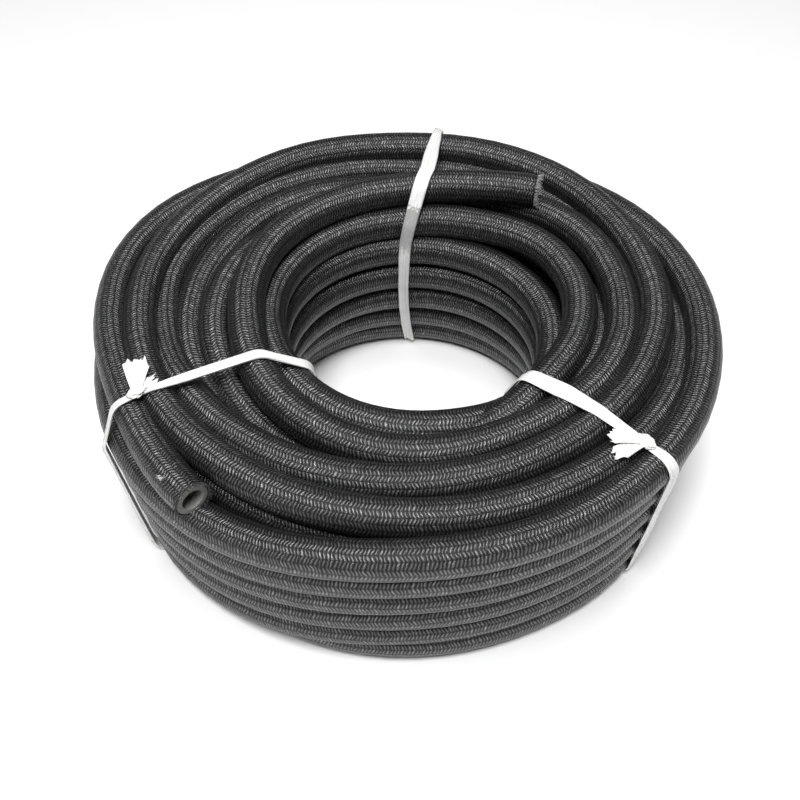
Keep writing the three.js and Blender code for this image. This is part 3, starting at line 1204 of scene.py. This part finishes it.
@dataclass(frozen=True)
class BraidFinish(Finish):
    """Black textile braid, a little shiny on its crests, with shade painted dark into the valleys between its
    strands.
    """

    # Painted shade: the dark colour painted into the braid's valleys.
    painted_valley_shade: tuple[float, float, float] = (0.0025, 0.0025, 0.0026)
    relief: float = 0.0003
    refraction: float = 1.75
    shine: float = 0.2
    flash: float = 2.2
    # Painted highlight: how far the crests' glints lighten the base colour.
    painted_glint: float = 0.02

    def build(self) -> bpy.types.Material:
        """Makes the braid's material."""
        material, sketch, shader = self.start()
        sheet = sketch.node("ShaderNodeUVMap", uv_map="sheet").outputs[0]
        place = sketch.node("ShaderNodeTexCoord").outputs["Object"]
        braid = BRAID.use(sketch, Sheet=sheet)
        tone = TONE.use(sketch, Colour=(*self.colour, 1.0), Place=place, Scale=26.0, Amount=0.16)["Colour"]
        # Painted shade: the base colour darkens from the crests into the valleys.
        colour = sketch.mix(braid["Painted Shade"], (*self.painted_valley_shade, 1.0), tone)
        # Painted highlight: the glints lighten the base colour towards a pale grey.
        painted_glint = sketch.math("MULTIPLY", braid["Glint"], self.painted_glint)
        colour = sketch.mix(painted_glint, colour, (0.5, 0.5, 0.49, 1.0))
        shine = sketch.math("ADD", self.shine, sketch.math("MULTIPLY", braid["Glint"], self.flash))
        sketch.plug(shader.inputs["Specular IOR Level"], shine)
        shader.inputs["IOR"].default_value = self.refraction
        lint = DUST.use(sketch, Place=place, Scale=700.0, Amount=0.004)["Mask"]
        colour = sketch.mix(sketch.math("MULTIPLY", lint, 0.4), colour, (0.35, 0.35, 0.34, 1.0))
        sketch.plug(shader.inputs["Base Color"], colour)
        fibres = sketch.noise(sketch.stretched(sheet, (9000, 160, 1)), 1.0)
        smoother, rougher = self.roughness - 0.1, self.roughness + 0.12
        sketch.plug(shader.inputs["Roughness"], sketch.span(fibres, 0.2, 0.8, smoother, rougher))
        height = sketch.math("ADD", braid["Height"], sketch.math("MULTIPLY", fibres, 0.45))
        sketch.plug(shader.inputs["Normal"], sketch.bump(height, self.relief))
        return material


@dataclass(frozen=True)
class RubberFinish(Finish):
    """Cut rubber, with fine cutting marks and a little dust."""

    def build(self) -> bpy.types.Material:
        """Makes the rubber's material."""
        material, sketch, shader = self.start()
        place = sketch.node("ShaderNodeTexCoord").outputs["Object"]
        colour = TONE.use(sketch, Colour=(*self.colour, 1.0), Place=place, Scale=160.0, Amount=0.18)["Colour"]
        lint = DUST.use(sketch, Place=place, Scale=2400.0, Amount=0.03)["Mask"]
        colour = sketch.mix(sketch.math("MULTIPLY", lint, 0.35), colour, (0.5, 0.5, 0.48, 1.0))
        sketch.plug(shader.inputs["Base Color"], colour)
        marks = sketch.noise(sketch.stretched(place, (900, 300, 1600)), 1.0, 4.0)
        sketch.plug(shader.inputs["Normal"], sketch.bump(marks, 0.00008))
        return material


@dataclass(frozen=True)
class FilmFinish(Finish):
    """White film, drawn tight: pleats along its length and a soft gloss.

    Attributes:
        grey_stretch: Where along the strip, in metres, its colour is painted grey.
        grey: The colour painted along that stretch.
    """

    grey_stretch: tuple[float, float] = (0.0, 0.0)
    grey: tuple[float, float, float] = (0.36, 0.36, 0.36)

    def build(self) -> bpy.types.Material:
        """Makes the film's material."""
        material, sketch, shader = self.start()
        sheet = sketch.node("ShaderNodeUVMap", uv_map="sheet").outputs[0]
        place = sketch.node("ShaderNodeTexCoord").outputs["Object"]
        colour = TONE.use(sketch, Colour=(*self.colour, 1.0), Place=place, Scale=220.0, Amount=0.03)["Colour"]
        # A stretch of the strip is painted grey, with ragged ends.
        if self.grey_stretch[1] > self.grey_stretch[0]:
            split = sketch.node("ShaderNodeSeparateXYZ")
            sketch.plug(split.inputs[0], sheet)
            ragged = sketch.span(sketch.noise(place, 900.0), 0.3, 0.7, -0.002, 0.002)
            along = sketch.math("ADD", split.outputs[0], ragged)
            begun = sketch.span(along, self.grey_stretch[0], self.grey_stretch[0] + 0.001)
            over = sketch.span(along, self.grey_stretch[1], self.grey_stretch[1] + 0.006, 1.0, 0.0)
            grey_share = sketch.math("MULTIPLY", sketch.math("MULTIPLY", begun, over), 0.85)
            colour = sketch.mix(grey_share, colour, (*self.grey, 1.0))
        sketch.plug(shader.inputs["Base Color"], colour)
        pleats = sketch.noise(sketch.stretched(sheet, (120, 46, 1)), 1.0, 3.0)
        creases = sketch.noise(sketch.stretched(place, (500, 500, 500)), 1.0, 2.0)
        height = sketch.math("ADD", pleats, sketch.math("MULTIPLY", creases, 0.35))
        sketch.plug(shader.inputs["Normal"], sketch.bump(height, 0.0004))
        shader.inputs["Subsurface Weight"].default_value = 0.25
        shader.inputs["Subsurface Radius"].default_value = (0.0015, 0.0015, 0.0015)
        return material


BLACK_BRAID = BraidFinish("braid_cover_finish", (0.015, 0.0154, 0.0154), 0.36)
GREY_RUBBER = RubberFinish("tube_rubber_finish", (0.21, 0.21, 0.205), 0.55)
WHITE_FILM = FilmFinish("tie_film_finish", (0.86, 0.86, 0.85), 0.32)
PALE_THREAD = Finish("pale_thread", (0.34, 0.34, 0.33), 0.7)
DARK_THREAD = Finish("dark_thread", (0.05, 0.05, 0.05), 0.6)
LINT = Finish("lint", (0.85, 0.85, 0.83), 0.8)


@dataclass(frozen=True)
class Studio:
    """The photograph's white table, its soft light and its camera."""

    camera_at: tuple[float, float, float] = (0.0, -0.28598, 0.33306)
    camera_pitch: float = 42.82
    lens: float = 45.6
    floor_reach: float = 1.2
    sky: float = 0.08
    front_box: float = 18.0
    top_box: float = 8.0

    def camera(self) -> None:
        """Makes the camera."""
        data = bpy.data.cameras.new("camera")
        data.lens = self.lens
        data.sensor_width = 36.0
        data.clip_start = 0.01
        camera = bpy.data.objects.new("camera", data)
        camera.location = self.camera_at
        camera.rotation_euler = (math.radians(self.camera_pitch), 0.0, 0.0)
        bpy.context.scene.collection.objects.link(camera)
        bpy.context.scene.camera = camera

    def light(self, name: str, at: tuple[float, float, float], size: float, power: float) -> bpy.types.Object:
        """Makes a soft box that looks at the coil.

        Args:
            name: Its name.
            at: Where it is, in metres.
            size: Its side in metres.
            power: Its power in watts.

        Returns:
            The light.
        """
        data = bpy.data.lights.new(name, "AREA")
        data.size = size
        data.energy = power
        light = bpy.data.objects.new(name, data)
        light.location = at
        aim = Vector((0, 0, 0.05)) - Vector(at)
        light.rotation_euler = aim.to_track_quat("-Z", "Y").to_euler()
        bpy.context.scene.collection.objects.link(light)
        return light

    def build(self) -> None:
        """Makes the floor, the lights and the white surroundings."""
        scene = bpy.context.scene
        scene.view_settings.view_transform = "Standard"
        reach = self.floor_reach
        mesh = bpy.data.meshes.new("floor")
        corners = [(-reach, -reach, 0), (reach, -reach, 0), (reach, reach, 0), (-reach, reach, 0)]
        mesh.from_pydata(corners, [], [(0, 1, 2, 3)])
        floor = bpy.data.objects.new("floor", mesh)
        mesh.materials.append(Finish("white_table", (0.95, 0.95, 0.95), 0.6).build())
        scene.collection.objects.link(floor)
        world = bpy.data.worlds.new("white_room")
        scene.world = world
        world.use_nodes = True
        back = next(node for node in world.node_tree.nodes if node.type == "BACKGROUND")
        back.inputs["Color"].default_value = (1.0, 1.0, 1.0, 1.0)
        sketch = Sketch(world.node_tree)
        seen = sketch.node("ShaderNodeLightPath").outputs["Is Camera Ray"]
        sketch.plug(back.inputs["Strength"], sketch.span(seen, 0.0, 1.0, self.sky, 1.0))
        lights = [
            self.light("box_front", (-0.08, -0.5, 1.22), 0.45, self.front_box),
            self.light("box_overhead", (0.05, 0.25, 1.3), 0.7, self.top_box),
        ]


# The ties, as the photograph shows them: plan points in millimetres, shares of the way round.
TIES = (
    FilmTie(
        name="film_tie_left",
        inner=(-41.2, -34.3),
        outer=(-101.9, -54.0),
        knot=0.8,
        widths=(
            (0.0, 2.6), (0.06, 4.6), (0.14, 5.0), (0.3, 4.5), (0.5, 4.0), (0.62, 4.6), (0.75, 4.8),
            (0.88, 4.6), (0.95, 3.4), (1.0, 2.6),
        ),
        shifts=((0.0, 0.0), (0.55, 0.0), (0.66, 5.0), (0.75, 4.5), (0.9, 1.0), (1.0, 0.0)),
        tails=(Tail(98, 13.5, 9.5, 22, 2.5), Tail(50, 9, 4.5, 12, 2)),
        seed=4,
    ),
    FilmTie(
        name="film_tie_right",
        inner=(44.2, -38.2),
        outer=(88.5, -79.5),
        knot=0.8,
        widths=(
            (0.0, 3.0), (0.06, 5.0), (0.13, 7.4), (0.2, 6.2), (0.35, 4.5), (0.5, 4.0), (0.65, 4.5),
            (0.8, 6.6), (0.92, 6.4), (0.97, 4.4), (1.0, 3.0),
        ),
        shifts=((0.0, 0.0), (0.55, 0.0), (0.66, 8.0), (0.8, 6.0), (0.95, 1.0), (1.0, 0.0)),
        tails=(Tail(168, 12, 6.5, 15, 3), Tail(202, 11.5, 6, 5, 2.5)),
        seed=11,
    ),
    FilmTie(
        name="film_tie_back",
        inner=(0.8, 44.3),
        outer=(16.6, 111.4),
        knot=1.03,
        widths=(
            (0.0, 3.0), (0.05, 5.0), (0.12, 6.4), (0.24, 6.0), (0.36, 4.6), (0.5, 4.6), (0.8, 4.8),
            (1.0, 3.0),
        ),
        shifts=((0.0, 0.0), (0.08, -2.0), (0.17, -4.5), (0.21, -4.0), (0.3, -0.5), (0.4, 0.0), (1.0, 0.0)),
        grey_stretch=(0.067, 0.084),
        tails=(Tail(10, 8, 3.5, 2, 2.5), Tail(170, 7, 3.5, 2, 2.5)),
        seed=21,
    ),
)


# Where the speck of lint lies on the outer end's turn, in millimetres.
LINT_AT = (-76.2, -84.9, 79.2)


@dataclass
class FuelHoseCoil:
    """The whole tied coil."""

    size: HoseSize = field(default_factory=HoseSize)
    winding: Winding = field(default_factory=Winding)
    ties: tuple[FilmTie, ...] = TIES
    lint_at: tuple[float, float, float] = LINT_AT

    def build(self) -> None:
        """Makes every piece, hides the CAD parts they stand in for, and gives each its finish."""
        line = HoseLine(self.winding.line())
        hose = BraidedHose(self.size, line)
        LOG.info("hose of %.2f m", line.length)
        tubes = [
            hose.build_tube("inner_end_tube", outer_end=False),
            hose.build_tube("outer_end_tube", outer_end=True),
        ]
        frays = [
            hose.build_fray("inner_end_fray", outer_end=False, seed=3),
            hose.build_fray("outer_end_fray", outer_end=True, seed=7),
        ]
        cover = hose.build_cover()
        for piece in (*tubes, *frays, cover):
            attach(piece, "root")
        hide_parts("hose_coil")
        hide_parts("rubber_tube_inner_end")
        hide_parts("rubber_tube_outer_end")
        self.dress(cover, BLACK_BRAID)
        for tube in tubes:
            self.dress(tube, GREY_RUBBER)
        for fray, finish in zip(frays, (PALE_THREAD, DARK_THREAD)):
            self.dress(fray, finish)
        lint = self.build_lint(np.array(self.lint_at) * MM)
        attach(lint, "root")
        self.dress(lint, LINT)
        for tie in self.ties:
            piece = tie.build(line, self.size)
            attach(piece, "root")
            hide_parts(tie.name)
            self.dress(piece, replace(WHITE_FILM, name=tie.name + "_finish", grey_stretch=tie.grey_stretch))

    def build_lint(self, centre: np.ndarray, threads: int = 16, across: float = 1.3) -> bpy.types.Object:
        """Makes the speck of lint on the outer end's turn.

        Args:
            centre: Its middle in metres.
            threads: How many threads it has.
            across: Its width.

        Returns:
            The speck.
        """
        chance = np.random.default_rng(5)
        puff = ThreadBundle()
        for _ in range(threads):
            bend = chance.normal(0, across * 0.3, (4, 3)) * MM
            bend[:, 2] = np.abs(bend[:, 2])
            puff.add(centre + np.cumsum(bend, axis=0) - bend.mean(axis=0), 0.09 * MM)
        return puff.make("lint_speck")

    def dress(self, piece: bpy.types.Object, finish: Finish) -> None:
        """Gives a piece its finish.

        Args:
            piece: The piece.
            finish: Its finish.
        """
        material = bpy.data.materials.get(finish.name) or finish.build()
        piece.data.materials.clear()
        piece.data.materials.append(material)


def main() -> None:
    """Builds the coil in its photograph's setting."""
    logging.basicConfig(level=logging.INFO, format="%(message)s")
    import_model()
    studio = Studio()
    studio.camera()
    FuelHoseCoil().build()
    studio.build()


if __name__ == "__main__":
    main()
